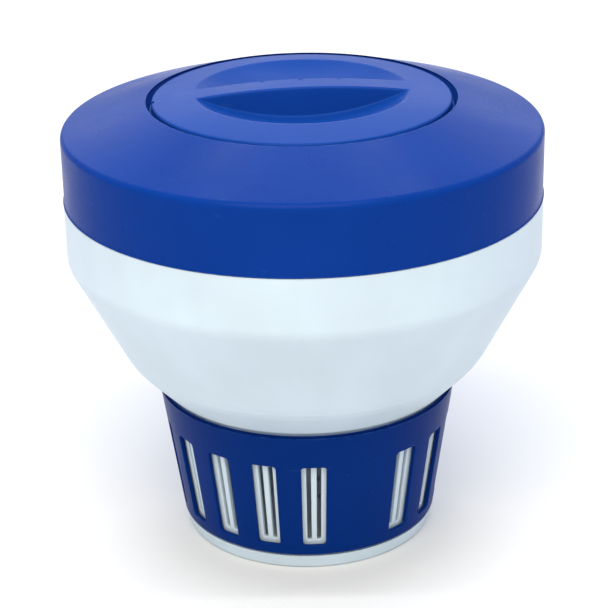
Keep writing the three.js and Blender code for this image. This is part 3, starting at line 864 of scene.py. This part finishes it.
def moulded_plastic(name, colour, roughness, scuff, grain=0.3, wear=0.5):
    """Injection moulded plastic: fine mould texture, flow marks, light scratches, rubbed edges."""
    finish = Finish(name)
    blotch = finish.ranged(finish.noise(22, 3), 0.35, 0.65)
    flow = finish.ranged(finish.noise(60, 2, stretch=(1, 1, 0.25)), 0.4, 0.62)
    tone = finish.mixed(blotch, shade(colour, 0.955), shade(colour, 1.035))
    tone = finish.mixed(finish.maths("MULTIPLY", flow, 0.25), tone, shade(colour, 0.93))
    edge = finish.add("ShaderNodeNewGeometry").outputs["Pointiness"]
    rubbed = finish.maths("MULTIPLY", finish.ranged(edge, 0.53, 0.62),
                          finish.ranged(finish.noise(260, 4), 0.42, 0.66))
    rubbed = finish.maths("MULTIPLY", rubbed, wear)
    tone = finish.mixed(rubbed, tone, shade(scuff, 1))
    scratch = finish.ranged(finish.noise(9, 2, stretch=(1.5, 90, 60), turn=0.5), 0.70, 0.76)
    hairline = finish.ranged(finish.noise(8, 2, stretch=(80, 2, 70), turn=-0.35), 0.71, 0.77)
    marks = finish.maths("MAXIMUM", scratch, hairline)
    finish.put(finish.shader.inputs["Base Color"],
               finish.mixed(finish.maths("MULTIPLY", marks, 0.10), tone, shade(scuff, 1)))
    gloss = finish.ranged(finish.noise(45, 4), 0.3, 0.7, roughness - 0.045, roughness + 0.055)
    gloss = finish.maths("ADD", gloss, finish.maths("MULTIPLY", marks, 0.12))
    gloss = finish.maths("ADD", gloss, finish.maths("MULTIPLY", rubbed, 0.2))
    finish.put(finish.shader.inputs["Roughness"], gloss)
    normal = finish.bump(finish.noise(1500, 3), 0.05, grain)
    normal = finish.bump(finish.noise(120, 2), 0.10, 0.12, normal)
    normal = finish.bump(finish.maths("MULTIPLY", marks, -1.0), 0.01, 0.3, normal)
    finish.put(finish.shader.inputs["Normal"], normal)
    return finish


def blue_plastic(name, colour, roughness):
    finish = moulded_plastic(name, colour, roughness, BLUE_SCUFF)
    finish.shader.inputs["Specular IOR Level"].default_value = BLUE_SPECULAR
    return finish.material


def white_plastic(name, colour, roughness):
    finish = moulded_plastic(name, colour, roughness, WHITE_SCUFF, grain=0.22, wear=0.25)
    finish.shader.inputs["Subsurface Weight"].default_value = 0.12
    finish.shader.inputs["Subsurface Scale"].default_value = 2.5 * MM
    finish.shader.inputs["Subsurface Radius"].default_value = (1.0, 1.0, 1.0)
    return finish.material


def rubber(name):
    finish = Finish(name)
    tone = finish.mixed(finish.ranged(finish.noise(180, 4), 0.35, 0.65),
                        (0.012, 0.012, 0.013, 1), (0.024, 0.024, 0.026, 1))
    finish.put(finish.shader.inputs["Base Color"], tone)
    finish.put(finish.shader.inputs["Roughness"],
               finish.ranged(finish.noise(300, 3), 0.3, 0.7, 0.58, 0.78))
    finish.put(finish.shader.inputs["Normal"], finish.bump(finish.noise(2200, 3), 0.04, 0.4))
    return finish.material


def rolled_steel(name):
    finish = Finish(name)
    rolling = finish.noise(14, 4, stretch=(2, 120, 60))
    finish.put(finish.shader.inputs["Base Color"],
               finish.mixed(finish.ranged(rolling, 0.3, 0.7), (0.40, 0.41, 0.42, 1),
                            (0.56, 0.57, 0.58, 1)))
    finish.put(finish.shader.inputs["Roughness"], finish.ranged(rolling, 0.3, 0.7, 0.28, 0.44))
    finish.put(finish.shader.inputs["Normal"], finish.bump(rolling, 0.03, 0.3))
    finish.shader.inputs["Metallic"].default_value = 1.0
    return finish.material


LID_BLUE = blue_plastic("lid_blue", (0.005, 0.046, 0.268), 0.30)
DECK_BLUE = blue_plastic("deck_blue", (0.002, 0.033, 0.230), 0.28)
SLEEVE_BLUE = blue_plastic("sleeve_blue", (0.000, 0.021, 0.152), 0.34)
BODY_WHITE = white_plastic("body_white", (0.57, 0.67, 0.73), 0.42)
WELL_WHITE = white_plastic("well_white", (0.74, 0.77, 0.78), 0.50)
SEAL_RUBBER = rubber("seal_rubber")
BALLAST_STEEL = rolled_steel("ballast_steel")


# ---------------------------------------------------------------- camera, light and floor

CAMERA_PLACE = (-0.0005, -0.800, 0.430)
CAMERA_YAW = -0.024 * DEG
CAMERA_PITCH = 22.83 * DEG
CAMERA_ROLL = -1.1 * DEG
CAMERA_LENS = 127.1

WORLD_COLOUR, WORLD_STRENGTH = (0.76, 0.82, 1.0, 1), 0.90
FLOOR_COLOUR, FLOOR_ROUGHNESS, FLOOR_HALF = (0.70, 0.70, 0.70, 1), 0.7, 6.0

# Lights, all turned towards LIGHT_TARGET: name, place, size, power and colour.
LIGHT_TARGET = (0, 0, 0.12)
LIGHTS = (
    ("key_softbox", (-0.25, -1.75, 2.35), (2.4, 1.7), 62, (1, 0.90, 0.64)),
    ("back_softbox", (0.0, 2.2, 1.3), (3.0, 1.4), 18, (1, 1, 1)),
    ("rim_strip", (0.0, -0.35, 1.60), (1.1, 0.05), 9, (1, 1, 1)),
    ("lip_strip", (0.0, 1.15, 1.55), (0.9, 0.06), 6, (1, 1, 1)),
)


def make_camera():
    camera = bpy.data.objects.new("camera", bpy.data.cameras.new("camera"))
    bpy.context.scene.collection.objects.link(camera)
    camera.data.sensor_width = 36.0
    camera.data.lens = CAMERA_LENS
    level = math.cos(CAMERA_PITCH)
    forward = Vector((level * math.sin(CAMERA_YAW), level * math.cos(CAMERA_YAW),
                      -math.sin(CAMERA_PITCH)))
    sideways = forward.cross(Vector((0, 0, 1))).normalized()
    upright = sideways.cross(forward)
    right = math.cos(CAMERA_ROLL) * sideways + math.sin(CAMERA_ROLL) * upright
    up = -math.sin(CAMERA_ROLL) * sideways + math.cos(CAMERA_ROLL) * upright
    turn = Matrix((right, up, -forward)).transposed()
    camera.matrix_world = Matrix.Translation(CAMERA_PLACE) @ turn.to_4x4()
    bpy.context.scene.camera = camera


def area_light(name, place, size, power, colour):
    lamp = bpy.data.lights.new(name, "AREA")
    lamp.shape = "RECTANGLE"
    lamp.size, lamp.size_y = size
    lamp.energy = power
    lamp.color = colour
    light = bpy.data.objects.new(name, lamp)
    bpy.context.scene.collection.objects.link(light)
    light.location = place
    aim = Vector(LIGHT_TARGET) - Vector(place)
    light.rotation_euler = aim.to_track_quat("-Z", "Y").to_euler()


def make_studio():
    world = bpy.data.worlds.new("studio")
    bpy.context.scene.world = world
    world.use_nodes = True
    background = world.node_tree.nodes["Background"]
    background.inputs["Color"].default_value = WORLD_COLOUR
    background.inputs["Strength"].default_value = WORLD_STRENGTH
    for light in LIGHTS:
        area_light(*light)

    floor_mesh = bpy.data.meshes.new("studio_floor")
    half = FLOOR_HALF
    corners = [(-half, -half, 0), (half, -half, 0), (half, half, 0), (-half, half, 0)]
    floor_mesh.from_pydata(corners, [], [(0, 1, 2, 3)])
    floor = bpy.data.objects.new("studio_floor", floor_mesh)
    bpy.context.scene.collection.objects.link(floor)
    material = bpy.data.materials.new("studio_floor")
    material.use_nodes = True
    shader = material.node_tree.nodes["Principled BSDF"]
    shader.inputs["Base Color"].default_value = FLOOR_COLOUR
    shader.inputs["Roughness"].default_value = FLOOR_ROUGHNESS
    floor_mesh.materials.append(material)


# ---------------------------------------------------------------- the object

place(make_lid(), "lid", LID_BLUE)
place(make_ring_seal("lid_seal_fine", *LID_SEAL), "lid_seal", SEAL_RUBBER)
place(make_deck_ring(), "deck_ring", DECK_BLUE)
place(make_rim_seal(), "rim_seal", SEAL_RUBBER)
place(make_float_bowl(), "float_bowl", BODY_WHITE)
place(make_tablet_well(), "tablet_well", WELL_WHITE)
place(make_ring_seal("well_seal_upper_fine", *UPPER_SEAL), "well_seal_upper", SEAL_RUBBER)
place(make_ring_seal("well_seal_lower_fine", *LOWER_SEAL), "well_seal_lower", SEAL_RUBBER)
place(make_basket(), "basket", BODY_WHITE)
place(make_sleeve(), "dosing_sleeve", SLEEVE_BLUE)
place(make_base_cap(), "base_cap", BODY_WHITE)
ballast = frame["nodes"]["ballast_ring"]
ballast.data.materials.clear()
ballast.data.materials.append(BALLAST_STEEL)

bpy.context.scene.view_settings.view_transform = "Standard"
make_camera()
make_studio()
